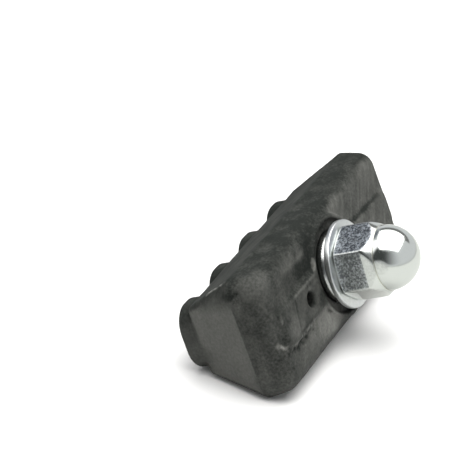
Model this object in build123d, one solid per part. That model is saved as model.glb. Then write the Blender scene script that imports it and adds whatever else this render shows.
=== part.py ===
"""Studded rim brake pad with its clamped post, washer and domed nut, in millimetres.

The post runs along Y through the origin: the nut points to -Y and the friction studs to +Y.
X is the length of the block, Z its width, and y = 0 is the flat back of the block.
"""
from build123d import *
import math
import os

# Rubber block: three sections along its depth, widest at the mould's parting line
BLOCK_LENGTH = 46.4
BLOCK_DEPTH = 13.6
PARTING_DEPTH = 4.9
PARTING_WIDTH = 18.5
PARTING_CORNER = 2.2
BACK_END_INSET = 0.3
BACK_SIDE_INSET = 0.55
BACK_CORNER = 2.8
BACK_EDGE_ROUND = 2.4
FRICTION_LENGTH = 40.4
FRICTION_WIDTH = 10.5
FRICTION_CORNER = 0.9
FRICTION_EDGE_ROUND = 0.45

# Friction studs, one row along the length
STUD_COUNT = 4
STUD_LENGTH = 8.2
STUD_WIDTH = 9.8
STUD_CORNER = 3.6
STUD_PITCH = 10.8
STUD_HEIGHT = 2.45
STUD_ROOT = 2.0
STUD_RIM_ROUND = 0.4

# Raised rib on the back, the lip round the post and the mould pin holes
RIB_LENGTH = 42.2
RIB_WIDTH = 4.9
RIB_HEIGHT = 0.6
RIB_FOOT = 0.7
RIB_CORNER = 0.8
RIB_ROUND = 0.3
LIP_OUTER_DIAMETER = 15.2
LIP_INNER_DIAMETER = 13.8
LIP_HEIGHT = 0.5
CUP_DEPTH = 0.25
PIN_HOLE_DIAMETER = 2.3
PIN_HOLE_SPACING = 21.8
PIN_HOLE_DEPTH = 3.2

# Steel post, bonded in the rubber
THREAD_DIAMETER = 6.0
COLLAR_DIAMETER = 10.4
COLLAR_PROUD = 1.5
COLLAR_SUNK = 1.4
HEAD_DIAMETER = 11.0
HEAD_THICKNESS = 2.0
HEAD_SUNK = 6.6
POST_END_CHAMFER = 0.6

# Washer
WASHER_DIAMETER = 12.9
WASHER_THICKNESS = 0.8
WASHER_HOLE_CLEARANCE = 0.2
WASHER_EDGE_ROUND = 0.18

# Domed nut
NUT_ACROSS_FLATS = 10.0
NUT_HEX_HEIGHT = 6.05
NUT_DOME_RADIUS = 4.72
NUT_CORNER_HEIGHT = 4.3
NUT_BASE_CHAMFER = 0.35
NUT_EDGE_ROUND = 0.22
NUT_BORE_CLEARANCE = 0.05
NUT_BORE_DEPTH = 7.9
NUT_TIP_CLEARANCE = 0.5
NUT_TURN = 22.4

WASHER_SEAT = -COLLAR_PROUD
NUT_SEAT = WASHER_SEAT - WASHER_THICKNESS
NUT_CORNER_RADIUS = NUT_ACROSS_FLATS / math.sqrt(3)


def across(y):
    """Plane square to the post at depth y, with its x along the block and its y upward."""
    return Plane(origin=(0, y, 0), x_dir=(1, 0, 0), z_dir=(0, -1, 0))


def disc(diameter, y_from, y_to):
    """Round bar on the post's axis between two depths."""
    return extrude(across(y_from) * Circle(diameter / 2), amount=y_from - y_to)


def turned(profile):
    """Solid turned about the post's axis from (radius, y) points."""
    outline = make_face(Polyline(*[(r, y) for r, y in profile], close=True))
    return revolve(outline, axis=Axis.Y)


def block_body():
    """Block that tapers both ways from its parting line, with rounded back edges."""
    friction = across(BLOCK_DEPTH) * RectangleRounded(FRICTION_LENGTH, FRICTION_WIDTH, FRICTION_CORNER)
    parting = across(PARTING_DEPTH) * RectangleRounded(BLOCK_LENGTH, PARTING_WIDTH, PARTING_CORNER)
    back_length = BLOCK_LENGTH - 2 * BACK_END_INSET
    back_width = PARTING_WIDTH - 2 * BACK_SIDE_INSET
    back = across(0) * RectangleRounded(back_length, back_width, BACK_CORNER)
    front_part = loft([friction, parting], ruled=True)
    back_part = loft([parting, back], ruled=True)
    body = front_part + back_part
    body = fillet(body.faces().sort_by(Axis.Y)[0].edges(), BACK_EDGE_ROUND)
    return fillet(body.faces().sort_by(Axis.Y)[-1].edges(), FRICTION_EDGE_ROUND)


def studs():
    """Row of oblong friction studs with rolled rims, rooted in the block."""
    tip = across(BLOCK_DEPTH + STUD_HEIGHT) * RectangleRounded(STUD_LENGTH, STUD_WIDTH, STUD_CORNER)
    stud = extrude(tip, amount=STUD_HEIGHT + STUD_ROOT)
    stud = fillet(stud.faces().sort_by(Axis.Y)[-1].edges(), STUD_RIM_ROUND)
    first = -STUD_PITCH * (STUD_COUNT - 1) / 2
    return [Pos(first + i * STUD_PITCH, 0, 0) * stud for i in range(STUD_COUNT)]


def back_rib():
    """Raised rib with sloping sides along the back, run out where the end edges round off."""
    foot = RectangleRounded(RIB_LENGTH, RIB_WIDTH + 2 * RIB_FOOT, RIB_CORNER + RIB_FOOT)
    crest = across(-RIB_HEIGHT) * RectangleRounded(RIB_LENGTH - 2 * RIB_FOOT, RIB_WIDTH, RIB_CORNER)
    rib = loft([across(0) * foot, crest], ruled=True)
    rib = fillet(rib.faces().sort_by(Axis.Y)[0].edges(), RIB_ROUND)
    return rib + extrude(across(BACK_EDGE_ROUND) * foot, amount=BACK_EDGE_ROUND)


def brake_block(post):
    """Moulded rubber block with its studs, rib and lip, and the hollow the post fills."""
    block = block_body()
    for stud in studs():
        block += stud
    block += back_rib()
    block += disc(LIP_OUTER_DIAMETER, 1, -LIP_HEIGHT)
    block -= disc(LIP_INNER_DIAMETER, CUP_DEPTH, -LIP_HEIGHT - RIB_HEIGHT - 1)
    for side in (-1, 1):
        hole = disc(PIN_HOLE_DIAMETER, PIN_HOLE_DEPTH, -RIB_HEIGHT - 1)
        block -= Pos(side * PIN_HOLE_SPACING / 2, 0, 0) * hole
    return block - post


def threaded_post():
    """Post with a collar for the washer and a round head moulded into the rubber."""
    tip = NUT_SEAT - NUT_BORE_DEPTH + NUT_TIP_CLEARANCE
    collar, thread, head = COLLAR_DIAMETER / 2, THREAD_DIAMETER / 2, HEAD_DIAMETER / 2
    return turned([
        (0, HEAD_SUNK + HEAD_THICKNESS),
        (head, HEAD_SUNK + HEAD_THICKNESS),
        (head, HEAD_SUNK),
        (thread, HEAD_SUNK),
        (thread, COLLAR_SUNK),
        (collar, COLLAR_SUNK),
        (collar, WASHER_SEAT),
        (thread, WASHER_SEAT),
        (thread, tip + POST_END_CHAMFER),
        (thread - POST_END_CHAMFER, tip),
        (0, tip),
    ])


def washer():
    """Flat washer with slightly rolled outer edges."""
    ring = disc(WASHER_DIAMETER, WASHER_SEAT, NUT_SEAT)
    ring = fillet(ring.edges(), WASHER_EDGE_ROUND)
    return ring - disc(THREAD_DIAMETER + 2 * WASHER_HOLE_CLEARANCE, WASHER_SEAT + 1, NUT_SEAT - 1)


def domed_nut():
    """Hexagon nut closed by a dome, with a plain bore in place of its thread."""
    top = NUT_SEAT - NUT_HEX_HEIGHT
    hexagon = across(NUT_SEAT) * RegularPolygon(NUT_CORNER_RADIUS, 6, rotation=NUT_TURN)
    body = extrude(hexagon, amount=NUT_HEX_HEIGHT)
    body = fillet(body.edges().filter_by(Axis.Y), NUT_EDGE_ROUND)
    corner, dome = NUT_CORNER_RADIUS, NUT_DOME_RADIUS
    body &= turned([
        (0, NUT_SEAT),
        (NUT_ACROSS_FLATS / 2 - 0.1, NUT_SEAT),
        (corner + 0.01, NUT_SEAT - NUT_BASE_CHAMFER),
        (corner + 0.01, NUT_SEAT - NUT_CORNER_HEIGHT),
        (dome, top),
        (0, top),
    ])
    ball = Pos(0, top, 0) * Sphere(dome)
    body += ball & Pos(0, top - dome, 0) * Box(3 * dome, 2 * dome, 3 * dome)
    bore = THREAD_DIAMETER / 2 + NUT_BORE_CLEARANCE
    floor = NUT_SEAT - NUT_BORE_DEPTH
    return body - turned([(0, NUT_SEAT + 1), (bore, NUT_SEAT + 1), (bore, floor), (0, floor - bore / 2)])


post_solid = threaded_post()
parts = {
    "brake_block": brake_block(post_solid),
    "threaded_post": post_solid,
    "washer": washer(),
    "domed_nut": domed_nut(),
}

os.makedirs("parts", exist_ok=True)
for name, shape in parts.items():
    shape.label = name
    export_step(shape, f"parts/{name}.step")
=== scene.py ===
"""Rim brake pad on a white studio floor: a studded rubber block with its post, washer and domed nut.

Every size is in metres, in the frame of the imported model: X runs along the block, -Y along the post
towards the nut, +Y towards the studs and +Z across the block. Shapes and marks are written in
millimetres and scaled by MM.
"""
import itertools
import logging
import math
from dataclasses import dataclass
from enum import Enum
from typing import Any, Callable, Sequence

import bmesh
import bpy
import numpy as np
from bpy.types import Material, Mesh, Node, NodeSocket, NodeTree, Object
from mathutils import Matrix, Vector


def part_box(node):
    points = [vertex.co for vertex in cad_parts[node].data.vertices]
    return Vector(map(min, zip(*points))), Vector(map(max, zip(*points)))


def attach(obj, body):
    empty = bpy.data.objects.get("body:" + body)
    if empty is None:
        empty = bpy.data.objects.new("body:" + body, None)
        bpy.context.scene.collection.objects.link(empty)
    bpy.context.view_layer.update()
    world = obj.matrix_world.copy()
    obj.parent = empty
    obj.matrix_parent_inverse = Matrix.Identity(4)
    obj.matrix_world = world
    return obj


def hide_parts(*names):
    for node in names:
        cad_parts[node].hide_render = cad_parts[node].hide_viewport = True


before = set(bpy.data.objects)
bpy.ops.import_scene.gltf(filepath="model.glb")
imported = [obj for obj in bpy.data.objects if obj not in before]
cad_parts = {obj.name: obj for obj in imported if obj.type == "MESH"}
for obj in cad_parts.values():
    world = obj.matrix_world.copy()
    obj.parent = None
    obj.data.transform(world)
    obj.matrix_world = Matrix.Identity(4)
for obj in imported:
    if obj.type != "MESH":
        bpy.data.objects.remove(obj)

LOG = logging.getLogger("brake_pad")
MM = 0.001
SMALL = 1e-6
HASH_PRIMES = (73856093, 19349663, 83492791)
HASH_SEED = 40503
HASH_MIX = 1274126177
Array = np.ndarray
Pair = tuple[float, float]
Triple = tuple[float, float, float]


class Effect(Enum):
    """Shader effects that more than one finish uses."""

    SPECKLE = "zinc_speckle"
    SOILING = "fine_soiling"


class Region(Enum):
    """Named point attributes that carry wear, form and painted light and shade from the meshes to the
    finishes.
    """

    # Dust on the rubber, together with highlights and shade painted into it.
    DUST = "dust"
    # Scuffs on the rubber; on the nut, the painted sheen of its downward flats.
    SCUFF = "scuff"
    FLAT = "flat"
    # Painted shade on the nut's upward flats.
    TARNISH = "tarnish"
    SOIL = "soil"


class Graph:
    """Small helper round a node tree: adds nodes, sets their inputs and links them."""

    def __init__(self, tree: NodeTree) -> None:
        """Keep the tree that nodes are added to."""
        self.tree = tree

    @classmethod
    def group(cls, name: str, kind: str, inputs: dict[str, str],
              outputs: dict[str, str]) -> tuple["Graph", Any, Any]:
        """Start a node group with named sockets.

        Args:
            name: The group's name.
            kind: The tree's type name.
            inputs: Each input's label and kind of socket.
            outputs: Each output's label and kind of socket.

        Returns:
            The group's graph, the sockets that give its inputs and those that take its outputs.
        """
        tree = bpy.data.node_groups.new(name, kind)
        for way, sockets in (("INPUT", inputs), ("OUTPUT", outputs)):
            for label, socket in sockets.items():
                tree.interface.new_socket(name=label, in_out=way, socket_type=f"NodeSocket{socket}")
        graph = cls(tree)
        return graph, graph.add("NodeGroupInput").outputs, graph.add("NodeGroupOutput").inputs

    def add(self, kind: str, inputs: dict[Any, Any] | None = None, **settings: Any) -> Node:
        """Add one node.

        Args:
            kind: The node's type name.
            inputs: Input name or index to a value or to another node's output socket.
            settings: Properties set on the node itself.

        Returns:
            The new node.
        """
        node = self.tree.nodes.new(kind)
        for name, value in settings.items():
            setattr(node, name, value)
        self.feed(node.inputs, inputs or {})
        return node

    def out(self, kind: str, inputs: dict[Any, Any], socket: Any = 0, **settings: Any) -> NodeSocket:
        """Add one node and return one of its outputs, by name or index."""
        return self.add(kind, inputs, **settings).outputs[socket]

    def feed(self, sockets: Any, values: dict[Any, Any]) -> None:
        """Link input sockets to outputs, or set their own values.

        Args:
            sockets: A node's inputs.
            values: Input name or index to an output socket or to a plain value.
        """
        for key, value in values.items():
            if isinstance(value, NodeSocket):
                self.tree.links.new(value, sockets[key])
            else:
                sockets[key].default_value = value

    def math(self, operation: str, *values: Any, clamp: bool = False) -> NodeSocket:
        """Do one operation on values."""
        return self.out("ShaderNodeMath", dict(enumerate(values)), operation=operation, use_clamp=clamp)

    def times(self, first: Any, second: Any) -> NodeSocket:
        """Multiply two values."""
        return self.math("MULTIPLY", first, second)

    def scaled(self, vector: Any, factor: Any) -> NodeSocket:
        """Scale a vector by one factor."""
        return self.out("ShaderNodeVectorMath", {0: vector, "Scale": factor}, operation="SCALE")

    def ramp(self, value: Any, low: float, high: float, to: Pair = (0.0, 1.0)) -> NodeSocket:
        """Map a value smoothly and clamped from the range low to high onto another."""
        inputs = {"Value": value, 1: low, 2: high, 3: to[0], 4: to[1]}
        return self.out("ShaderNodeMapRange", inputs, interpolation_type="SMOOTHSTEP")

    def window(self, value: Any, span: Pair, ease: Pair) -> NodeSocket:
        """Give 1 between two angles in degrees, easing off below the first and above the second."""
        ends = ((span[0] - ease[0], span[0]), (span[1] + ease[1], span[1]))
        return self.times(*(self.ramp(value, math.radians(a), math.radians(b)) for a, b in ends))

    def mix(self, share: Any, first: Any, second: Any, blend: str = "MIX") -> NodeSocket:
        """Mix a share of a second colour into a first, each a socket or plain red, green and blue."""
        a, b = (c if isinstance(c, NodeSocket) else (*c, 1) for c in (first, second))
        return self.out("ShaderNodeMix", {0: share, 6: a, 7: b}, 2, data_type="RGBA", blend_type=blend)

    def noise(self, where: Any, scale: Any, detail: float = 3.0, rough: float = 0.5) -> NodeSocket:
        """Give a noise texture's factor, with its scale per metre."""
        inputs = {"Vector": where, "Scale": scale, "Detail": detail, "Roughness": rough}
        return self.out("ShaderNodeTexNoise", inputs)

    def bump(self, height: Any, strength: float, depth: float) -> NodeSocket:
        """Turn a height into a normal."""
        return self.out("ShaderNodeBump", {"Height": height, "Strength": strength, "Distance": depth})

    def random(self, low: Any, high: Any, seed: Any) -> NodeSocket:
        """Give each point a random vector between two."""
        inputs = {0: low, 1: high, "Seed": seed}
        return self.out("FunctionNodeRandomValue", inputs, data_type="FLOAT_VECTOR")

    def dressed(self, shapes: NodeSocket, finish: NodeSocket) -> NodeSocket:
        """Realize instances and set their material."""
        solid = self.out("GeometryNodeRealizeInstances", {"Geometry": shapes})
        return self.out("GeometryNodeSetMaterial", {"Geometry": solid, "Material": finish})

    def attribute(self, region: Region) -> NodeSocket:
        """Read a point attribute of the mesh."""
        return self.out("ShaderNodeAttribute", {}, "Fac", attribute_name=region.value)

    def position(self) -> NodeSocket:
        """Read the object coordinates."""
        return self.out("ShaderNodeTexCoord", {}, "Object")


class EffectShelf:
    """Builds each shared effect once and places it in a material."""

    coarse_scale: float = 0.37
    fine_share: float = 0.65
    dark_specks: Pair = (0.53, 0.43)
    bright_specks: Pair = (0.50, 0.62)
    cloud_scale: float = 0.16

    def __init__(self) -> None:
        """Start with no effect built."""
        self.built: dict[Effect, NodeTree] = {}

    def place(self, graph: Graph, effect: Effect, inputs: dict[str, Any]) -> Any:
        """Place an effect in a material.

        Args:
            graph: The material's graph.
            effect: Which effect.
            inputs: Values or sockets for the group's named inputs.

        Returns:
            The group node's outputs.
        """
        if effect not in self.built:
            makers = {Effect.SPECKLE: self._speckle, Effect.SOILING: self._soiling}
            self.built[effect] = makers[effect](effect.value)
        return graph.add("ShaderNodeGroup", inputs, node_tree=self.built[effect]).outputs

    def _speckle(self, name: str) -> NodeTree:
        """Build the crystal speckle of zinc plate.

        Args:
            name: The group's name.

        Returns:
            A group that gives dark specks, bright specks and a height.
        """
        graph, given, result = Graph.group(
            name, "ShaderNodeTree", {"Position": "Vector", "Grain per metre": "Float", "Amount": "Float"},
            {"Dark": "Float", "Bright": "Float", "Height": "Float"})
        where, grain, amount = (given[i] for i in range(3))
        fine = graph.noise(where, grain, 2.0, 0.6)
        coarse = graph.noise(where, graph.times(grain, self.coarse_scale), 3.0, 0.6)
        both = graph.math("ADD", graph.times(fine, self.fine_share), graph.times(coarse, 1 - self.fine_share))
        specks = (graph.ramp(both, *span) for span in (self.dark_specks, self.bright_specks))
        graph.feed(result, {i: graph.times(value, amount) for i, value in enumerate((*specks, both))})
        return graph.tree

    def _soiling(self, name: str) -> NodeTree:
        """Build patchy fine dirt; on the rubber its cover also holds painted highlights and painted shade.

        Args:
            name: The group's name.

        Returns:
            A group that gives a mask broken up by cloud and grain noise, and the grain.
        """
        graph, given, result = Graph.group(
            name, "ShaderNodeTree",
            {"Position": "Vector", "Cover": "Float", "Grain per metre": "Float", "Break-up": "Float"},
            {"Mask": "Float", "Grain": "Float"})
        where, cover, grain, breakup = (given[i] for i in range(4))
        cloud = graph.noise(where, graph.times(grain, self.cloud_scale), 4.0, 0.62)
        fine = graph.noise(where, grain, 3.0, 0.6)
        wobble = graph.math("ADD", graph.math("SUBTRACT", cloud, 0.5), graph.math("SUBTRACT", fine, 0.5))
        mask = graph.math("MULTIPLY_ADD", wobble, breakup, cover, clamp=True)
        graph.feed(result, {"Mask": mask, "Grain": fine})
        return graph.tree


SHELF = EffectShelf()


def new_material(name: str) -> tuple[Material, Graph, Node]:
    """Make a node material.

    Args:
        name: The material's name.

    Returns:
        The material, its graph and its Principled shader.
    """
    material = bpy.data.materials.new(name)
    material.use_nodes = True
    return material, Graph(material.node_tree), material.node_tree.nodes["Principled BSDF"]


@dataclass(frozen=True)
class Rubber:
    """Black moulded rubber under grey dust, scuffs and hair scratches; its grey also holds painted
    highlights, and its bare black holds painted shade.
    """

    name: str = "block_rubber"
    bare: Triple = (0.0105, 0.0125, 0.0108)
    dust_and_light_grey: Triple = (0.205, 0.206, 0.191)
    grain: float = 2600.0
    breakup: Pair = (0.14, 0.42)
    hair_scale: Triple = (260.0, 5200.0, 3100.0)
    hair_range: Pair = (0.58, 0.82)
    hair_cover: float = 0.05
    grain_range: Pair = (0.25, 0.75)
    grain_shade: Pair = (0.9, 1.08)
    roughness: float = 0.74
    scuff_roughness: float = -0.14
    grain_roughness: float = 0.1
    specular: float = 0.14
    bump: float = 0.22
    bump_depth: float = 0.06 * MM

    def make(self) -> Material:
        """Build the material.

        Returns:
            The material.
        """
        material, graph, shader = new_material(self.name)
        where, scuff = graph.position(), graph.attribute(Region.SCUFF)
        # The cover is the block's dust with its painted highlights and painted shade, so the grey mix below
        # paints them too.
        soil = SHELF.place(graph, Effect.SOILING, {
            "Position": where, "Cover": graph.attribute(Region.DUST), "Grain per metre": self.grain,
            "Break-up": graph.ramp(scuff, 0.0, 1.0, self.breakup)})
        drawn = graph.out("ShaderNodeVectorMath", {0: where, 1: self.hair_scale}, operation="MULTIPLY")
        hair = graph.ramp(graph.noise(drawn, 1.0, 2.0, 0.6), *self.hair_range, (0.0, self.hair_cover))
        colour = graph.mix(graph.math("ADD", soil["Mask"], hair, clamp=True), self.bare, self.dust_and_light_grey)
        shade = graph.ramp(soil["Grain"], *self.grain_range, self.grain_shade)
        grey = graph.out("ShaderNodeCombineColor", dict.fromkeys(range(3), shade))
        rough = graph.math("MULTIPLY_ADD", scuff, self.scuff_roughness, self.roughness)
        graph.feed(shader.inputs, {
            "Base Color": graph.mix(1.0, colour, grey, "MULTIPLY"),
            "Roughness": graph.math("MULTIPLY_ADD", soil["Grain"], self.grain_roughness, rough),
            "Specular IOR Level": self.specular,
            "Normal": graph.bump(soil["Grain"], self.bump, self.bump_depth)})
        return material


@dataclass(frozen=True)
class Zinc:
    """Bright zinc plate, speckled where the steel under it is rough. On the nut, painted shade darkens the
    upward flats, a painted sheen lightens the downward flats and painted highlights run along the corners.
    """

    name: str
    bright: Triple = (0.71, 0.735, 0.71)
    dull: Triple = (0.46, 0.485, 0.495)
    # Painted sheen: the nut's downward flats are mixed toward this near white.
    underside_sheen: Triple = (0.93, 0.94, 0.91)
    # Painted shade: the nut's upward flats are mixed toward this dark blue-grey.
    top_flat_shade_colour: Triple = (0.07, 0.083, 0.105)
    dirt: Triple = (0.36, 0.35, 0.25)
    dark_tint: Triple = (0.3, 0.31, 0.34)
    bright_tint: Triple = (2.0, 2.0, 2.05)
    smooth_roughness: float = 0.12
    flat_roughness: float = 0.44
    dirt_roughness: float = 0.3
    flat_share: float = 0.85
    top_flat_shade_share: float = 0.68
    cloud_share: float = 0.3
    dark_share: float = 0.7
    bright_share: float = 0.58
    dirt_share: float = 0.6
    speckle: float = 1.0
    top_flat_shade_speckle: float = 0.6
    grain: float = 3700.0
    cloud_grain: float = 300.0
    dirt_grain: float = 900.0
    dirt_breakup: float = 0.12
    soiling: float = 0.02
    ripple_grain: float = 500.0
    ripple: float = 0.35
    bump: float = 0.35
    bump_depth: float = 0.05 * MM
    reads_form: bool = False

    def make(self) -> Material:
        """Build the material.

        Returns:
            The material.
        """
        material, graph, shader = new_material(self.name)
        where = graph.position()
        roughness = (self.smooth_roughness, self.flat_roughness)
        if self.reads_form:
            flat, tarnish = graph.attribute(Region.FLAT), graph.attribute(Region.TARNISH)
            # More speckle on the flats with painted shade.
            rougher = graph.math("MULTIPLY_ADD", tarnish, self.top_flat_shade_speckle, self.speckle)
            amount = graph.times(flat, rougher)
            base = graph.mix(graph.times(flat, self.flat_share), self.bright, self.dull)
            # Painted shade on the upward flats.
            base = graph.mix(graph.times(tarnish, self.top_flat_shade_share), base, self.top_flat_shade_colour)
            # Painted sheen on the downward flats, read from the scuff attribute.
            base = graph.mix(graph.attribute(Region.SCUFF), base, self.underside_sheen)
            rough = graph.ramp(flat, 0.0, 1.0, roughness)
            cover = graph.math("ADD", graph.attribute(Region.SOIL), self.soiling)
        else:
            amount = graph.times(graph.noise(where, self.cloud_grain), self.speckle)
            base = graph.mix(graph.times(amount, self.cloud_share), self.bright, self.dull)
            rough = graph.ramp(amount, 0.2, 0.8, roughness)
            cover = self.soiling
        spots = SHELF.place(graph, Effect.SPECKLE, {
            "Position": where, "Grain per metre": self.grain, "Amount": amount})
        soil = SHELF.place(graph, Effect.SOILING, {
            "Position": where, "Cover": cover, "Grain per metre": self.dirt_grain,
            "Break-up": self.dirt_breakup})
        darker = graph.mix(1.0, base, self.dark_tint, "MULTIPLY")
        lighter = graph.mix(1.0, base, self.bright_tint, "MULTIPLY")
        colour = graph.mix(graph.times(spots["Dark"], self.dark_share), base, darker)
        colour = graph.mix(graph.times(spots["Bright"], self.bright_share), colour, lighter)
        ripple = graph.noise(where, self.ripple_grain, 2.0)
        height = graph.math("MULTIPLY_ADD", ripple, self.ripple, spots["Height"])
        graph.feed(shader.inputs, {
            "Base Color": graph.mix(graph.times(soil["Mask"], self.dirt_share), colour, self.dirt),
            "Metallic": 1.0,
            "Roughness": graph.math("MULTIPLY_ADD", soil["Mask"], self.dirt_roughness, rough),
            "Normal": graph.bump(height, self.bump, self.bump_depth)})
        return material


def lattice_noise(points: Array, cell: float, seed: int) -> Array:
    """Smooth random values in space.

    Args:
        points: Points, one row each.
        cell: Size of one cell of the pattern.
        seed: Which pattern.

    Returns:
        One value from -1 to 1 for each point.
    """
    scaled = points / cell
    base = np.floor(scaled).astype(np.int64)
    share = scaled - base
    share = share * share * (3 - 2 * share)
    total = np.zeros(len(points))
    for corner in itertools.product((0, 1), repeat=3):
        at = (base + corner) * np.array(HASH_PRIMES)
        code = at[:, 0] ^ at[:, 1] ^ at[:, 2] ^ (seed * HASH_SEED)
        code = (code ^ (code >> 13)) * HASH_MIX
        code = (code ^ (code >> 16)) & 0xFFFF
        weight = np.prod(np.where(corner, share, 1 - share), axis=1)
        total += weight * (code / 32767.5 - 1)
    return total


@dataclass(frozen=True)
class Clouds:
    """A random pattern: layers of noise, each half as large and half as strong as the last."""

    cell: float
    seed: int
    layers: int = 4
    amount: float = 1.0

    def at(self, points: Array) -> Array:
        """Give the pattern's value at each point."""
        return self.amount * sum(lattice_noise(points, self.cell / 2 ** k, self.seed + k) / 2 ** k
                                 for k in range(self.layers))


def smooth_step(value: Array, low: float, high: float) -> Array:
    """Ease from 0 at low to 1 at high."""
    t = np.clip((value - low) / (high - low), 0, 1)
    return t * t * (3 - 2 * t)


def link_object(name: str, data: Any) -> Object:
    """Put a mesh, lamp or camera into the scene as an object at the origin.

    Args:
        name: The object's name.
        data: What it shows.

    Returns:
        The object.
    """
    piece = bpy.data.objects.new(name, data)
    bpy.context.scene.collection.objects.link(piece)
    return piece


def settled_mesh(piece: Object, name: str) -> Mesh:
    """Turn an object with its modifiers into a plain mesh and remove the object.

    Args:
        piece: The object.
        name: The mesh's name.

    Returns:
        The plain mesh.
    """
    graph = bpy.context.evaluated_depsgraph_get()
    mesh = bpy.data.meshes.new_from_object(piece.evaluated_get(graph), depsgraph=graph)
    mesh.name = name
    data = piece.data
    bpy.data.objects.remove(piece)
    bpy.data.meshes.remove(data)
    return mesh


def grow(piece: Object, graph: Graph, values: dict[str, Any]) -> None:
    """Give an object a geometry nodes modifier and set its inputs by their identifiers.

    Args:
        piece: The object.
        graph: The modifier's group.
        values: Each input's label and value.
    """
    modifier = piece.modifiers.new(graph.tree.name, "NODES")
    modifier.node_group = graph.tree
    for item in graph.tree.interface.items_tree:
        if item.name in values:
            modifier[item.identifier] = values[item.name]


def read_points(mesh: Mesh, what: str = "co") -> Array:
    """Read the points of a mesh.

    Args:
        mesh: The mesh.
        what: "co" for places or "normal" for normals.

    Returns:
        One row for each point.
    """
    values = np.empty(len(mesh.vertices) * 3, np.float32)
    mesh.vertices.foreach_get(what, values)
    return values.reshape(-1, 3).astype(float)


def inside(points: Array, box: Sequence[Any]) -> Array:
    """Keep points in millimetres inside a box in metres."""
    low, high = (np.array(corner) / MM for corner in box)
    return np.clip(points, low, high)


def move_points(mesh: Mesh, points: Array) -> None:
    """Move the points of a mesh to places in millimetres."""
    mesh.vertices.foreach_set("co", (points * MM).astype(np.float32).ravel())


def store_region(mesh: Mesh, region: Region, values: Array) -> None:
    """Store one value per point as a named attribute."""
    mesh.attributes.new(region.value, "FLOAT", "POINT").data.foreach_set("value", values.astype(np.float32))


def hand_over(piece: Object, node: str, finish: Material) -> None:
    """Let a finished piece stand for its CAD node.

    Args:
        piece: The finished piece.
        node: The CAD node's name.
        finish: The material to wear.
    """
    piece.data.materials.clear()
    piece.data.materials.append(finish)
    piece.data.polygons.foreach_set("use_smooth", [True] * len(piece.data.polygons))
    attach(piece, "root")
    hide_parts(node)
    LOG.info("%s stands for %s with %d faces", piece.name, node, len(piece.data.polygons))


@dataclass(frozen=True)
class Mark:
    """A line pressed into, cut into or raised on the rubber, in millimetres. Some marks grey the rubber with
    dust, others carry a painted highlight or painted shade along the line.

    A ragged mark strays from its line, and its width and its dust and painted light vary.
    """

    start: Triple
    end: Triple
    width: float
    height: float
    dust: float = 0.0
    ragged: float = 0.0
    stray: float = 0.42
    stray_cell: float = 0.55
    stray_seeds: tuple[int, ...] = (38, 39, 40)
    swell: float = 0.5
    swell_cell: float = 0.5
    swell_seed: int = 37

    def near(self, points: Array) -> Array:
        """Weigh points by how near they lie to the line.

        Args:
            points: Points, one row each.

        Returns:
            A weight from 0 to 1 for each point.
        """
        start, end = np.array(self.start), np.array(self.end)
        span = end - start
        if self.ragged:
            drift = [lattice_noise(points, self.stray_cell, seed) for seed in self.stray_seeds]
            points = points + self.stray * self.ragged * np.stack(drift, axis=1)
        share = np.clip((points - start) @ span / (span @ span), 0, 1)
        gap = np.linalg.norm(points - start - share[:, None] * span, axis=1)
        if self.ragged:
            pattern = lattice_noise(points, self.swell_cell, self.swell_seed)
            gap = gap * (1 + self.swell * self.ragged * pattern)
        return np.exp(-(gap / self.width) ** 2)


@dataclass(frozen=True)
class Patch:
    """A cloud of dust, a painted highlight or a spot of painted shade on the rubber, in millimetres."""

    centre: Triple
    reach: Triple
    dust: float
    broken: float = 0.35
    edge: Pair = (1.3, 0.35)

    def weight(self, points: Array, pattern: Array) -> Array:
        """Weigh points by how far inside the patch they lie, with its edge broken up by a pattern."""
        gap = np.linalg.norm((points - np.array(self.centre)) / np.array(self.reach), axis=1)
        return smooth_step(gap + self.broken * pattern, *self.edge)


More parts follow.
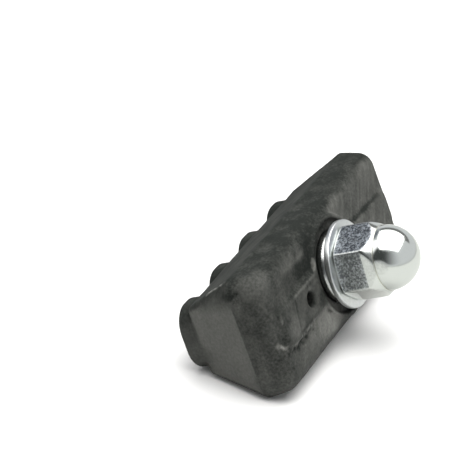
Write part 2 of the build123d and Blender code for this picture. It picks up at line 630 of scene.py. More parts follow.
@dataclass
class RubberBlock:
    """Moulded block: the CAD shape made dense, then worn and dusted as the real one is, with highlights and
    shade painted into its dust.

    Lengths are in millimetres, and pairs are the ends of an easing range.
    """

    node: str = "brake_block"
    voxel: float = 0.215
    weld: float = 1e-4
    ease_factor: float = 0.5
    ease_rounds: int = 2
    parting_depth: float = 4.9
    block_depth: float = 13.6
    hollow_radius: float = 7.0
    hollow_from: float = -1.5
    hollow_to: float = 9.5
    # Painted shade: the rubber in the hollow under the washer keeps less grey, so it reads darker.
    hollow_shade: float = 0.75
    seam_from: Triple = (-20.6, -0.15, -3.05)
    seam_to: Triple = (-12.2, -0.15, -3.3)
    seam_count: int = 12
    seam_seed: int = 7
    crumb: float = 0.46
    smallest_crumb: Triple = (0.2, 0.2, 0.2)
    largest_crumb: Triple = (1.1, 0.95, 1.0)
    scatter: float = 0.32
    scatter_shape: Triple = (1.0, 0.35, 1.0)
    swell: Clouds = Clouds(7.0, 11, 3, 0.07)
    pebble: Clouds = Clouds(1.1, 23, 2, 0.012)
    scuff: Clouds = Clouds(5.0, 71, 4, 0.5)
    scuffed: float = 0.6
    scuff_fade: float = 0.3
    cloud: Clouds = Clouds(6.0, 41)
    mottle: Clouds = Clouds(1.7, 97, 3)
    teeth: Clouds = Clouds(0.62, 53, 1)
    tooth_share: float = 1.7
    # Painted shade: upward faces keep less grey than the sides, so the top reads darker.
    shaded_top_dust: float = 0.03
    side_dust: float = 0.165
    # The end slopes are painted lighter, partly dust and partly painted light, fading towards the top edge.
    taper_dust_and_light: float = 0.45
    cloud_dust: float = 0.03
    mottle_dust: float = 0.065
    top_mottle_loss: float = 0.02
    upward_from: Pair = (0.25, 0.8)
    endward_from: Pair = (0.75, 0.92)
    backward_from: Pair = (0.5, 0.9)
    taper_start: Pair = (-0.05, 0.15)
    taper_end: float = 0.6
    taper_clear: Pair = (6.8, 4.4)
    edge_cloud: float = 0.4
    edge_mottle: float = 0.3
    streak: Clouds = Clouds(0.55, 83, 3)
    streak_along: Triple = (0.646, 0.0, 0.763)
    streak_stretch: float = 6.0
    streak_share: float = 0.15
    far_streaks: float = 0.12
    far_from: Pair = (-2.0, 6.0)
    marks: tuple[Mark, ...] = (
        Mark((-15.4, -0.6, 2.0), (-16.6, -0.6, -2.4), 0.2, -0.1, -0.16),
        Mark((-10.4, -0.6, -2.3), (-16.5, -0.6, -2.4), 0.2, -0.08, -0.12),
        # Painted highlight on the edge of the rib's near end.
        Mark((-20.4, -0.5, 2.2), (-20.75, -0.35, 1.1), 0.2, 0.06, 0.26, 0.5),
        # Painted shade at the foot of the rib's near end, in a shallow groove.
        Mark((-20.9, -0.2, 2.2), (-21.8, 0.2, -0.4), 0.25, -0.05, -0.12, 0.5),
        # Painted highlight along the rib's upper crest edge, on a low raised line.
        Mark((-14.9, -0.6, 2.45), (-7.7, -0.6, 2.38), 0.22, 0.05, 0.2),
        # Painted shadow under the seam, in a groove cut into the rubber.
        Mark((-20.8, 0.0, -3.5), (-12.4, 0.0, -3.8), 0.3, -0.2, -0.42, 0.9),
        Mark((-20.4, -0.2, -3.05), (-11.6, -0.3, -2.95), 0.3, 0.0, 0.34, 1.2),
        Mark((-19.6, 0.0, -4.2), (-12.0, 0.0, -4.4), 0.2, 0.04, 0.1, 1.2),
        # Torn flash along the top edge, raised, with a painted highlight on it.
        Mark((-20.5, 9.5, 7.1), (-21.5, 5.3, 8.95), 0.2, 0.09, 0.85, 0.6),
        # Painted highlight along the rounded edge between the top flank and the back.
        Mark((-15.4, 0.05, 6.3), (-8.0, 0.0, 6.0), 0.45, 0.05, 0.16),
        # Painted highlight on the outer wall of the ring lip round the post.
        Mark((-6.3, -0.42, 4.2), (-7.0, -0.35, 2.9), 0.34, 0.06, 0.52, 0.5),
        # Painted shade in the valley beside the ring lip.
        Mark((-4.4, -0.2, 6.1), (-6.1, -0.2, 4.7), 0.5, 0.0, -0.25),
        # Painted shade in the valley beside the ring lip, over a shallow groove.
        Mark((-6.3, 0.0, 6.2), (-7.7, 0.0, 3.5), 0.5, -0.05, -0.2),
        Mark((-22.2, 0.3, -1.7), (-20.0, 0.0, -3.1), 0.28, 0.07, 0.6, 0.7),
        # Painted shade on the lower foot of the ring lip.
        Mark((-6.6, -0.1, -3.9), (-6.2, -0.12, -4.3), 0.26, -0.04, -0.6),
        # Painted shadow along the rib's upper foot beyond the post, on a shallow groove.
        Mark((8.6, -0.2, 3.0), (18.8, -0.1, 2.5), 0.42, -0.05, -0.36),
        # A small nick in the top corner, darkened with painted shade.
        Mark((-23.0, 3.3, 7.55), (-23.1, 4.15, 7.2), 0.24, -0.22, -0.3),
        # Painted highlight on the nick's lower edge.
        Mark((-23.1, 3.95, 6.8), (-22.95, 3.3, 7.1), 0.17, 0.06, 0.22),
        Mark((-22.4, 0.8, 5.2), (-21.6, 0.2, 2.6), 0.3, 0.03, 0.1),
        Mark((-22.7, 1.2, 4.4), (-22.0, 0.4, 1.6), 0.25, 0.02, 0.08),
    )
    patches: tuple[Patch, ...] = (
        Patch((-21.4, 1.2, 7.4), (3.4, 2.4, 2.1), 0.27, 0.6),
        # Darker spot round the nick.
        Patch((-22.9, 5.0, 7.2), (1.3, 1.6, 1.1), 0.02, 0.3),
        Patch((-23.0, 2.6, 5.2), (1.0, 1.1, 1.1), 0.1, 0.5),
        Patch((-23.1, 3.9, -6.0), (1.2, 1.6, 2.4), 0.22, 0.4),
        Patch((-17.3, -0.6, -1.1), (2.7, 0.9, 1.9), 0.37, 0.3),
        Patch((-13.6, 0.6, -6.4), (6.4, 3.2, 3.2), 0.28, 0.5),
        Patch((-7.9, 0.2, -4.9), (6.6, 1.7, 2.9), 0.64, 0.4),
        Patch((-8.0, -0.6, -1.4), (2.4, 0.5, 1.4), 0.08, 0.3),
        Patch((-19.3, -0.4, 2.7), (2.2, 0.9, 1.4), 0.09, 0.5),
        Patch((-6.2, 0.2, -5.4), (2.4, 1.2, 1.9), 0.95, 0.3),
        # Painted shade round the ring lip.
        Patch((-8.5, 0.0, 4.6), (6.5, 1.6, 2.2), 0.02, 0.2),
        # Painted shade in the valley above the ring lip.
        Patch((-4.5, 0.2, 7.0), (5.0, 1.6, 1.6), 0.02, 0.2),
        # Painted highlight at the end of the rounded back edge, near the ring lip.
        Patch((-8.8, 0.0, 6.0), (2.2, 1.0, 0.8), 0.2, 0.3),
        # Painted highlight on the upper rim of the small hole in the rib.
        Patch((-10.5, -0.6, 1.35), (0.8, 0.6, 0.5), 0.38, 0.2),
        Patch((-10.9, 1.4, 0.0), (1.9, 1.9, 1.9), 0.0, 0.0),
        Patch((13.5, 0.0, 2.4), (11.5, 2.6, 5.6), 0.33),
        Patch((6.0, 0.0, 6.2), (3.6, 1.8, 2.2), 0.4, 0.6),
        Patch((11.0, 0.0, 5.4), (3.0, 1.2, 1.8), 0.26, 0.5),
        Patch((18.6, 0.0, 6.4), (3.6, 1.4, 2.0), 0.38, 0.4),
        # Painted shade in the valley beside the ring lip.
        Patch((-6.4, 0.0, 5.6), (2.6, 0.6, 1.2), 0.0, 0.3),
        Patch((0.5, 1.5, 8.8), (7.0, 2.4, 1.4), 0.0, 0.4),
        Patch((-20.2, 14.6, -2.6), (1.6, 2.6, 2.8), 0.26, 0.3),
        Patch((14.0, -0.3, -4.5), (9.0, 2.4, 4.6), 0.42),
    )

    def build(self, finish: Material) -> Object:
        """Make the dense block, wear it and store its dust with the painted highlights and shade.

        Args:
            finish: The crumbs' material.

        Returns:
            The finished block, ready to be dressed.
        """
        mesh = self._dense(finish)
        points, normals = read_points(mesh) / MM, read_points(mesh, "normal")
        points = points + normals * (self._relief(points) * self._skin(points))[:, None]
        points = inside(points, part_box(self.node))
        move_points(mesh, points)
        store_region(mesh, Region.DUST, self._dust(points, normals))
        scuff = np.clip(self.scuffed + self.scuff.at(points), 0, 1)
        behind = smooth_step(points[:, 1], self.parting_depth + self.scuff_fade, self.parting_depth)
        store_region(mesh, Region.SCUFF, scuff * behind)
        mesh.update()
        return link_object("rubber_block", mesh)

    def _dense(self, finish: Material) -> Mesh:
        """Join the seam's crumbs to a copy of the CAD solid and remesh them as one skin.

        Args:
            finish: The crumbs' material.

        Returns:
            The dense mesh.
        """
        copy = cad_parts[self.node].data.copy()
        work = bmesh.new()
        work.from_mesh(copy)
        bmesh.ops.scale(work, vec=(1 / MM,) * 3, verts=work.verts)
        bmesh.ops.remove_doubles(work, verts=work.verts, dist=self.weld)
        crumbs = self._crumbs(finish)
        work.from_mesh(crumbs)
        work.to_mesh(copy)
        work.free()
        bpy.data.meshes.remove(crumbs)
        piece = link_object("block_work", copy)
        skin = piece.modifiers.new("skin", "REMESH")
        skin.mode = "VOXEL"
        skin.voxel_size = self.voxel
        ease = piece.modifiers.new("ease", "SMOOTH")
        ease.factor = self.ease_factor
        ease.iterations = self.ease_rounds
        mesh = settled_mesh(piece, "rubber_block")
        mesh.transform(Matrix.Scale(MM, 4))
        return mesh

    def _crumbs(self, finish: Material) -> Mesh:
        """Scatter torn crumbs of flash along the rib's lower foot with geometry nodes.

        Args:
            finish: The crumbs' material.

        Returns:
            The crumbs as a plain mesh, in millimetres.
        """
        graph, given, result = Graph.group(
            "seam_crumbs", "GeometryNodeTree",
            {"Path": "Geometry", "Count": "Int", "Crumb": "Float", "Scatter": "Float", "Seed": "Int",
             "Finish": "Material"}, {"Crumbs": "Geometry"})
        path = graph.out("GeometryNodeMeshToCurve", {"Mesh": given["Path"]}, "Curve")
        spots = graph.out("GeometryNodeCurveToPoints", {"Curve": path, "Count": given["Count"]}, "Points")
        scatter = graph.scaled(self.scatter_shape, given["Scatter"])
        shift = graph.random(graph.scaled(scatter, -1.0), scatter, given["Seed"])
        size = graph.random(self.smallest_crumb, self.largest_crumb, given["Seed"])
        moved = graph.out("GeometryNodeSetPosition", {"Geometry": spots, "Offset": shift})
        crumb = graph.out("GeometryNodeMeshIcoSphere", {"Radius": given["Crumb"], "Subdivisions": 2}, "Mesh")
        placed = graph.out("GeometryNodeInstanceOnPoints", {
            "Points": moved, "Instance": crumb, "Scale": size})
        graph.feed(result, {0: graph.dressed(placed, given["Finish"])})
        line = bpy.data.meshes.new("seam_line")
        line.from_pydata([self.seam_from, self.seam_to], [(0, 1)], [])
        piece = link_object("seam_work", line)
        grow(piece, graph, {"Count": self.seam_count, "Crumb": self.crumb, "Scatter": self.scatter,
                            "Seed": self.seam_seed, "Finish": finish})
        return settled_mesh(piece, "seam_crumbs")

    def _skin(self, points: Array) -> Array:
        """Give 1 on the outer skin and 0 inside the hollow for the post."""
        around, y = np.hypot(points[:, 0], points[:, 2]), points[:, 1]
        return 1.0 - ((around < self.hollow_radius) & (y > self.hollow_from) & (y < self.hollow_to))

    def _relief(self, points: Array) -> Array:
        """Work out how far each point stands out of or into the clean shape, in millimetres."""
        rough = self.swell.at(points) + self.pebble.at(points)
        return sum((mark.height * mark.near(points) for mark in self.marks), rough)

    def _streaks(self, points: Array) -> Array:
        """Draw fine wiping streaks across the back.

        Args:
            points: Points, one row each.

        Returns:
            The streaks' value at each point.
        """
        along = np.array(self.streak_along)
        across = points @ np.cross(along, (0.0, 1.0, 0.0))
        drawn = [points @ along / self.streak_stretch, across, points[:, 1] / self.streak_stretch]
        return self.streak.at(np.stack(drawn, axis=1))

    def _dust(self, points: Array, normals: Array) -> Array:
        """Work out the dust on the rubber, with highlights and shade painted into it.

        Args:
            points: Points of the worn block.
            normals: Their normals before the wear.

        Returns:
            From 0 for bare rubber to 1 for grey, for each point.
        """
        clouds, mottle = self.cloud.at(points), self.mottle.at(points)
        # Painted shade on the upward faces, which also lose some mottle.
        top_shade = smooth_step(normals[:, 2], *self.upward_from)
        dust = self.side_dust + (self.shaded_top_dust - self.side_dust) * top_shade + self.cloud_dust * clouds
        dust = dust + (self.mottle_dust - self.top_mottle_loss * top_shade) * mottle
        # End slopes lighter, partly dust and partly painted light; they fade out near the friction face and
        # towards the top edge.
        start, end = (self.parting_depth + past for past in self.taper_start)
        taper = smooth_step(points[:, 1], start, end) * smooth_step(np.abs(normals[:, 0]), *self.endward_from)
        taper = taper * smooth_step(points[:, 1], self.block_depth, self.block_depth - self.taper_end)
        taper = taper * smooth_step(points[:, 2], *self.taper_clear)
        dust = dust + (self.taper_dust_and_light - dust) * taper
        pattern = self.edge_cloud * clouds + self.edge_mottle * mottle
        for patch in self.patches:
            dust = dust + (patch.dust - dust) * patch.weight(points, pattern)
        backward = smooth_step(-normals[:, 1], *self.backward_from)
        streaky = self.streak_share + self.far_streaks * smooth_step(points[:, 0], *self.far_from)
        dust = dust * (1 + streaky * backward * self._streaks(points))
        # Painted shade in the hollow under the washer.
        dust = dust * np.where(self._skin(points) > 0, 1.0, self.hollow_shade)
        teeth = self.teeth.at(points)
        for mark in self.marks:
            dust = dust + mark.dust * (1 + self.tooth_share * mark.ragged * teeth) * mark.near(points)
        return np.clip(dust, 0, 1)


def lathe(name: str, profile: Sequence[Pair], steps: int,
          radius_at: Callable[[Array, float, float], Array] | None = None) -> Mesh:
    """Turn a closed profile about the post's axis.

    Args:
        name: The mesh's name.
        profile: (radius, y) points in millimetres, from the axis back to the axis or round a ring.
        steps: Number of steps round the axis.
        radius_at: Optional function of (angles, radius, y) that gives the radius round the axis.

    Returns:
        The mesh in metres, with outward faces.
    """
    angles = np.arange(steps) * 2 * math.pi / steps
    work = bmesh.new()
    rows: list[list[bmesh.types.BMVert]] = []
    for radius, y in profile:
        if radius < SMALL:
            rows.append([work.verts.new((0, y * MM, 0))])
            continue
        round_it = radius_at(angles, radius, y) if radius_at else np.full(steps, radius)
        rows.append([work.verts.new((r * math.cos(a) * MM, y * MM, r * math.sin(a) * MM))
                     for r, a in zip(round_it, angles)])
    closed = len(rows[0]) > 1
    for first, second in list(zip(rows, rows[1:])) + ([(rows[-1], rows[0])] if closed else []):
        for k in range(steps):
            n = (k + 1) % steps
            ring = [row[i % len(row)] for row, i in ((first, k), (first, n), (second, n), (second, k))]
            work.faces.new(list(dict.fromkeys(ring)))
    bmesh.ops.recalc_face_normals(work, faces=work.faces)
    mesh = bpy.data.meshes.new(name)
    work.to_mesh(mesh)
    work.free()
    return mesh


def rounded(profile: Sequence[Pair], radius: float, steps: int = 5) -> list[Pair]:
    """Round the inner corners of an open profile with short Bezier arcs.

    Args:
        profile: The profile's points.
        radius: How far an arc starts from its corner.
        steps: Number of points of an arc.

    Returns:
        The points of the rounded profile.
    """
    out = [profile[0]]
    for ends in zip(profile, profile[1:], profile[2:]):
        a, b, c = (np.array(end, float) for end in ends)
        start, stop = (b + (end - b) / np.linalg.norm(end - b) * radius for end in (a, c))
        for t in np.linspace(0, 1, steps):
            out.append(tuple((1 - t) ** 2 * start + 2 * t * (1 - t) * b + t * t * stop))
    return out + [profile[-1]]


def spaced(profile: Sequence[Pair], step: float) -> list[Pair]:
    """Divide the long runs of a profile.

    Args:
        profile: The profile's points.
        step: The longest run to leave.

    Returns:
        The points with those in between.
    """
    out = [profile[0]]
    for a, b in zip(profile, profile[1:]):
        count = max(1, math.ceil(math.dist(a, b) / step))
        out += [tuple(np.array(a) + (np.array(b) - np.array(a)) * (k + 1) / count) for k in range(count)]
    return out


@dataclass
class PostSet:
    """Steel post with its washer and domed nut, turned about the post's axis.

    Lengths are in millimetres, and pairs are the ends of an easing range.
    """

    collar_radius: float = 5.2
    washer_seat: float = -1.5
    collar_sunk: float = 1.4
    head_radius: float = 5.5
    head_from: float = 6.6
    head_to: float = 8.6
    thread_radius: float = 3.0
    thread_root: float = 2.55
    thread_pitch: float = 1.0
    thread_gap: float = 0.5
    thread_short: float = 1.3
    thread_steps: int = 40
    tip_chamfer: float = 0.6
    post_steps: int = 96
    washer_radius: float = 6.45
    washer_hole: float = 3.2
    washer_start: float = 4.6
    washer_round: float = 0.2
    washer_steps: int = 192
    nut_seat: float = -2.3
    nut_flats: float = 10.0
    nut_turn: float = 22.4
    nut_steps: int = 432
    profile_step: float = 0.09
    hex_height: float = 6.05
    corner_height: float = 4.3
    corner_past: float = 0.01
    corner_ease: float = 0.8
    base_inset: float = 0.1
    base_chamfer: float = 0.35
    dome_radius: float = 4.72
    dome_steps: int = 56
    bore: float = 3.05
    bore_depth: float = 7.9
    tip_clearance: float = 0.5
    edge_round: float = 0.13
    cut_ease: float = 0.45
    least_facing: float = 0.3
    bent_flat: int = 2
    bend: float = math.radians(9.5)
    flat_edge: Pair = (0.13, 0.05)
    flat_from: Pair = (0.2, 0.42)
    bent_facing: Pair = (0.82, 0.87)
    bent_from: Pair = (0.0, 0.25)
    underneath: Pair = (-0.3, -0.8)
    on_top: Pair = (0.2, 0.8)
    edge_turn: Pair = (math.radians(2.4), math.radians(0.8))
    under_clear: float = 0.9
    bent_clear: float = 0.85
    # Painted highlight: how much of the dull finish clears at the hex corners.
    edge_highlight: float = 0.7
    joint_width: float = 0.09
    joint_soil: float = 0.9
    bent_soil: float = 0.12

    def post(self, finish: Material) -> Object:
        """Turn the post and wind its thread on with geometry nodes.

        Args:
            finish: The thread's material.

        Returns:
            The post.
        """
        tip = self.nut_seat - self.bore_depth + self.tip_clearance
        head, collar = self.head_radius, self.collar_radius
        thread, root = self.thread_radius, self.thread_root
        profile = [(0, self.head_to), (head, self.head_to), (head, self.head_from), (thread, self.head_from),
                   (thread, self.collar_sunk), (collar, self.collar_sunk), (collar, self.washer_seat),
                   (root, self.washer_seat), (root, tip + self.tip_chamfer), (root - self.tip_chamfer, tip),
                   (0, tip)]
        piece = link_object("post_work", lathe("post_work", profile, self.post_steps))
        grow(piece, self._thread(), {
            "Root radius": root * MM, "Crest": (thread - root) * MM, "Pitch": self.thread_pitch * MM,
            "From": (self.washer_seat - self.thread_gap) * MM,
            "Length": (self.washer_seat - self.thread_short - tip) * MM, "Finish": finish})
        return link_object("steel_post", settled_mesh(piece, "steel_post"))

    def _thread(self) -> Graph:
        """Build the tree that winds a ridge round the post along a helix.

        Returns:
            The tree's graph.
        """
        graph, given, result = Graph.group(
            "post_thread", "GeometryNodeTree",
            {"Core": "Geometry", "Root radius": "Float", "Crest": "Float", "Pitch": "Float", "From": "Float",
             "Length": "Float", "Finish": "Material"}, {"Threaded": "Geometry"})
        turns = graph.math("DIVIDE", given["Length"], given["Pitch"])
        helix = graph.out("GeometryNodeCurveSpiral", {
            "Resolution": self.thread_steps, "Rotations": turns, "Start Radius": given["Root radius"],
            "End Radius": given["Root radius"], "Height": given["Length"]})
        place = graph.out("ShaderNodeCombineXYZ", {1: given["From"]})
        laid = graph.out("GeometryNodeTransform", {
            "Geometry": helix, "Translation": place, "Rotation": (math.pi / 2, 0, 0)})
        ridge = graph.out("GeometryNodeCurvePrimitiveCircle", {"Resolution": 4, "Radius": given["Crest"]},
                          "Curve", mode="RADIUS")
        wound = graph.out("GeometryNodeCurveToMesh", {
            "Curve": laid, "Profile Curve": ridge, "Fill Caps": True})
        joined = graph.add("GeometryNodeJoinGeometry")
        for shape in (given["Core"], wound):
            graph.feed(joined.inputs, {0: shape})
        graph.feed(result, {0: graph.dressed(joined.outputs[0], given["Finish"])})
        return graph

    def washer(self) -> Object:
        """Turn the flat washer with its rolled edges.

        Returns:
            The washer.
        """
        start, outer, hole = self.washer_start, self.washer_radius, self.washer_hole
        back, front = self.washer_seat, self.nut_seat
        ring = [(start, back), (outer, back), (outer, front), (hole, front), (hole, back), (start, back)]
        ring = rounded(ring, self.washer_round)[:-1]
        return link_object("flat_washer", lathe("flat_washer", ring, self.washer_steps))

    def nut(self) -> Object:
        """Turn the nut: a hexagon cut by two cones and closed by a dome, with eased edges.

        Returns:
            The nut.
        """
        seat, top, floor = self.nut_seat, self.nut_seat - self.hex_height, self.nut_seat - self.bore_depth
        corner = self.nut_flats / math.sqrt(3) + self.corner_past
        arc = [(self.dome_radius * math.cos(a), top - self.dome_radius * math.sin(a))
               for a in np.linspace(0, math.pi / 2, self.dome_steps)]
        outer = [(self.nut_flats / 2 - self.base_inset, seat), (corner, seat - self.base_chamfer),
                 (corner, seat - self.corner_height), (self.dome_radius, top)]
        inner = [(0, floor - self.bore / 2), (self.bore, floor), (self.bore, seat)]
        outer = spaced([inner[-1]] + outer, self.profile_step)[1:]
        profile = inner + outer + arc[1:-1] + [(0, top - self.dome_radius)]
        mesh = lathe("domed_nut_shell", profile, self.nut_steps, self._nut_radius)
        move_points(mesh, inside(read_points(mesh) / MM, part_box("domed_nut")))
        self._store_form(mesh)
        return link_object("domed_nut_shell", mesh)

    def _facing(self, angles: Array) -> Array:
        """Give how squarely each angle faces each of the six flats."""
        return np.cos(angles[:, None] - np.radians(self.nut_turn + 30 + 60 * np.arange(6)))

    def _hexagon(self, angles: Array, y: Any) -> Array:
        """Give the hexagon's radius, with eased corners and one flat bent in by the dome.

        Args:
            angles: Angles round the post.
            y: Place along the post, one for all angles or one for each.

        Returns:
            The radius at each angle, in millimetres.
        """
        facing, least = self._facing(angles), self.least_facing
        depth = np.full((len(angles), 6), self.nut_flats / 2)
        past = (self.nut_seat - self.corner_height - np.asarray(y, float)) / self.edge_round
        depth[:, self.bent_flat] -= self.edge_round * np.logaddexp(0, past) * math.tan(self.bend)
        sharp = np.min(np.where(facing > least, depth / np.maximum(facing, least), np.inf), axis=1)
        limit = self.nut_flats / math.sqrt(3) - self.edge_round * self.corner_ease
        return -self.edge_round * np.logaddexp(-sharp / self.edge_round, -limit / self.edge_round)

    def _nut_radius(self, angles: Array, radius: float, y: float) -> Array:
        """Cut a profile's radius by the hexagon, with a small ease where they meet.

        Args:
            angles: Angles round the post.
            radius: The profile's radius.
            y: Its place along the post.

        Returns:
            The radius at each angle, in millimetres.
        """
        if radius <= self.bore + SMALL and y > self.nut_seat - self.bore_depth - self.bore:
            return np.full(len(angles), radius)
        ease = self.edge_round * self.cut_ease
        return -ease * np.logaddexp(-self._hexagon(angles, y) / ease, -radius / ease)

    def _store_form(self, mesh: Mesh) -> None:
        """Store where the nut's dull flats, its painted corner highlights, the painted shade on its upward
        flats, the painted sheen on its downward flats and its soiled edges are.

        Args:
            mesh: The nut's mesh.
        """
        points, normals = read_points(mesh) / MM, read_points(mesh, "normal")
        angles = np.arctan2(points[:, 2], points[:, 0])
        radius = np.hypot(points[:, 0], points[:, 2])
        along = self.nut_seat - points[:, 1]
        flat = smooth_step(self._hexagon(angles, points[:, 1]) - radius, *self.flat_edge)
        flat = flat * smooth_step(along, *self.flat_from)
        bent = smooth_step(self._facing(angles)[:, self.bent_flat], *self.bent_facing)
        bent = bent * smooth_step(along - self.corner_height, *self.bent_from)
        under = smooth_step(normals[:, 2], *self.underneath)
        above = smooth_step(normals[:, 2], *self.on_top)
        turn = (angles - math.radians(self.nut_turn + 30)) % math.radians(60) - math.radians(30)
        inner = 1 - self.edge_highlight * smooth_step(np.abs(turn), *self.edge_turn)
        # The dull finish clears on the downward flats for the painted sheen, on the bent flat, and at the
        # corners for a painted highlight.
        dull = flat * (1 - self.under_clear * under) * (1 - self.bent_clear * bent) * inner
        store_region(mesh, Region.FLAT, dull)
        # Painted shade mask: the upward flats, away from the corners.
        store_region(mesh, Region.TARNISH, flat * above * inner)
        # Painted sheen mask on the downward flats, stored in the scuff attribute.
        store_region(mesh, Region.SCUFF, flat * under)
        joint = np.exp(-((along - self.hex_height) / self.joint_width) ** 2) * (radius > self.bore + 0.5)
        soil = self.bent_soil * flat * bent + self.joint_soil * joint
        store_region(mesh, Region.SOIL, np.clip(soil, 0, 1))


@dataclass(frozen=True)
class Pane:
    """A stretch of the room's walls with a tone of its own, in degrees, with the ease at both ends."""

    bearing: Pair
    bearing_ease: Pair
    height: Pair
    height_ease: Pair
    tone: Triple
    share: float = 1.0


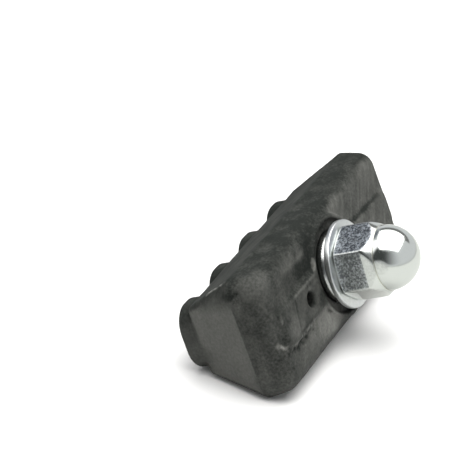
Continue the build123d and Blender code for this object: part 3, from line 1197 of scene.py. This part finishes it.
@dataclass(frozen=True)
class Studio:
    """White table, soft light from above and the camera."""

    camera_at: Triple = (-339.29 * MM, -187.93 * MM, 137.25 * MM)
    right: Triple = (0.38694, -0.86136, -0.32915)
    up: Triple = (0.42908, -0.14776, 0.89109)
    back: Triple = (-0.81619, -0.48604, 0.31241)
    focal_px: float = 2863.1
    frame_px: float = 469.0
    sensor_mm: float = 36.0
    clip: Pair = (0.01, 20.0)
    lean: float = math.radians(21.89)
    rests_at: Triple = (0.0, 4.9 * MM, -9.25 * MM)
    table_reach: float = 0.16
    table_steps: int = 96
    table_tone: Triple = (0.9, 0.9, 0.9)
    table_roughness: float = 0.8
    table_glow: float = 0.035
    mirrored_table: Triple = (0.58, 0.59, 0.575)
    fill: float = 0.5
    lamp_height: float = 0.45
    lamp_colour: Triple = (1.0, 0.99, 0.97)
    lamp_size: Pair = (0.80, 0.66)
    lamp_aside: Pair = (0.11, -0.05)
    lamp_turn: float = math.radians(14)
    lamp_power: float = 3.9
    key_size: Pair = (0.36, 0.36)
    key_aside: Pair = (0.02, 0.01)
    key_power: float = 1.6
    walls: Triple = (0.74, 0.755, 0.77)
    below: Triple = (0.66, 0.67, 0.66)
    horizon: Pair = (0.03, -0.05)
    panes: tuple[Pane, ...] = (
        Pane((-179, -140), (1, 14), (26, 60), (10, 10), (1.5, 1.5, 1.5)),
        Pane((52, 122), (8, 10), (25, 36), (4, 3), (0.13, 0.13, 0.125), 0.9),
        Pane((-126, -92), (12, 75), (6, 46), (7, 8), (0.06, 0.065, 0.065)),
        Pane((140, 166), (22, 12), (20, 44), (15, 8), (0.10, 0.12, 0.15), 0.85),
    )

    @property
    def table_place(self) -> Matrix:
        """Place of the table, which the block lies on with its parting edge and studs."""
        return Matrix.Translation(self.rests_at) @ Matrix.Rotation(self.lean, 4, "X")

    def place_camera(self) -> None:
        """Put the camera at the picture's angle."""
        data = bpy.data.cameras.new("camera")
        data.sensor_width = self.sensor_mm
        data.lens = self.sensor_mm * self.focal_px / self.frame_px
        data.clip_start, data.clip_end = self.clip
        camera = link_object("camera", data)
        columns = Matrix((self.right, self.up, self.back)).transposed()
        camera.matrix_world = Matrix.LocRotScale(Vector(self.camera_at), columns.to_quaternion(), None)
        bpy.context.scene.camera = camera

    def lay_table(self) -> None:
        """Lay the round white table top, which can't be seen from below."""
        work = bmesh.new()
        bmesh.ops.create_circle(work, cap_ends=True, segments=self.table_steps, radius=self.table_reach)
        mesh = bpy.data.meshes.new("table_top")
        work.to_mesh(mesh)
        work.free()
        mesh.transform(self.table_place)
        table = link_object("table_top", mesh)
        material, graph, shader = new_material("table_white")
        path = graph.add("ShaderNodeLightPath").outputs
        seen = path["Is Camera Ray"]
        graph.feed(shader.inputs, {
            "Base Color": graph.mix(path["Is Glossy Ray"], self.table_tone, self.mirrored_table),
            "Roughness": self.table_roughness, "Specular IOR Level": 0.0, "Emission Color": (1, 1, 1, 1),
            "Emission Strength": graph.times(seen, self.table_glow)})
        behind = graph.times(graph.out("ShaderNodeNewGeometry", {}, "Backfacing"), seen)
        clear = graph.out("ShaderNodeBsdfTransparent", {})
        shown = graph.out("ShaderNodeMixShader", {0: behind, 1: shader.outputs[0], 2: clear})
        graph.feed(material.node_tree.nodes["Material Output"].inputs, {"Surface": shown})
        mesh.materials.append(material)

    def light(self) -> None:
        """Hang the softbox and the key lamp, and set the room round the table."""
        self._hang("top_softbox", self.lamp_size, self.lamp_aside, self.lamp_power)
        self._hang("key_lamp", self.key_size, self.key_aside, self.key_power).visible_glossy = False
        self._room()

    def _hang(self, name: str, size: Pair, aside: Pair, power: float) -> Object:
        """Hang one lamp level over the table.

        Args:
            name: The lamp's name.
            size: Its two sides.
            aside: Its place over the table, from the spot under the block.
            power: Its power in watts.

        Returns:
            The lamp, which the camera doesn't see.
        """
        lamp = bpy.data.lights.new(name, "AREA")
        lamp.shape = "RECTANGLE"
        lamp.size, lamp.size_y = size
        lamp.energy = power
        lamp.color = self.lamp_colour
        box = link_object(name, lamp)
        hung = self.table_place @ Matrix.Translation((*aside, self.lamp_height))
        box.matrix_world = hung @ Matrix.Rotation(self.lamp_turn, 4, "Z")
        box.visible_camera = False
        return box

    def _room(self) -> None:
        """Paint the room that the metal mirrors: grey walls, panes of other tones, grey below.

        The camera sees it white.
        """
        world = bpy.data.worlds.new("studio")
        bpy.context.scene.world = world
        world.use_nodes = True
        graph = Graph(world.node_tree)
        towards = graph.out("ShaderNodeTexCoord", {}, "Generated")
        sine, cosine = math.sin(self.lean), math.cos(self.lean)
        x, y, z = (graph.out("ShaderNodeVectorMath", {0: towards, 1: axis}, "Value", operation="DOT_PRODUCT")
                   for axis in ((1, 0, 0), (0, cosine, sine), (0, -sine, cosine)))
        height = graph.math("ARCSINE", z)
        bearing = graph.math("ARCTAN2", x, graph.times(y, -1.0))
        colour: Any = self.walls
        for pane in self.panes:
            cover = graph.times(graph.window(bearing, pane.bearing, pane.bearing_ease),
                                graph.window(height, pane.height, pane.height_ease))
            colour = graph.mix(graph.times(cover, pane.share), colour, pane.tone)
        colour = graph.mix(graph.ramp(height, *self.horizon), colour, self.below)
        path = graph.add("ShaderNodeLightPath").outputs
        direct = graph.math("MAXIMUM", path["Is Camera Ray"], path["Is Glossy Ray"])
        graph.feed(world.node_tree.nodes["Background"].inputs, {
            "Color": graph.mix(path["Is Camera Ray"], colour, (1, 1, 1)),
            "Strength": graph.ramp(direct, 0.0, 1.0, (self.fill, 1.0))})


def main() -> None:
    """Build and dress each piece on the loaded frame and set up the studio."""
    logging.basicConfig(level=logging.INFO)
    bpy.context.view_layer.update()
    rubber = Rubber().make()
    steel = Zinc("post_steel", bright=(0.56, 0.57, 0.56), smooth_roughness=0.25, speckle=0.5).make()
    plate = Zinc("washer_zinc", bright=(0.67, 0.685, 0.685), smooth_roughness=0.34, speckle=0.16,
                 soiling=-0.03).make()
    speckled = Zinc("nut_zinc", reads_form=True).make()

    hand_over(RubberBlock().build(rubber), "brake_block", rubber)
    post_set = PostSet()
    hand_over(post_set.post(steel), "threaded_post", steel)
    hand_over(post_set.washer(), "washer", plate)
    hand_over(post_set.nut(), "domed_nut", speckled)

    studio = Studio()
    studio.place_camera()
    studio.lay_table()
    studio.light()
    bpy.context.scene.view_settings.view_transform = "Standard"


if __name__ == "__main__":
    main()
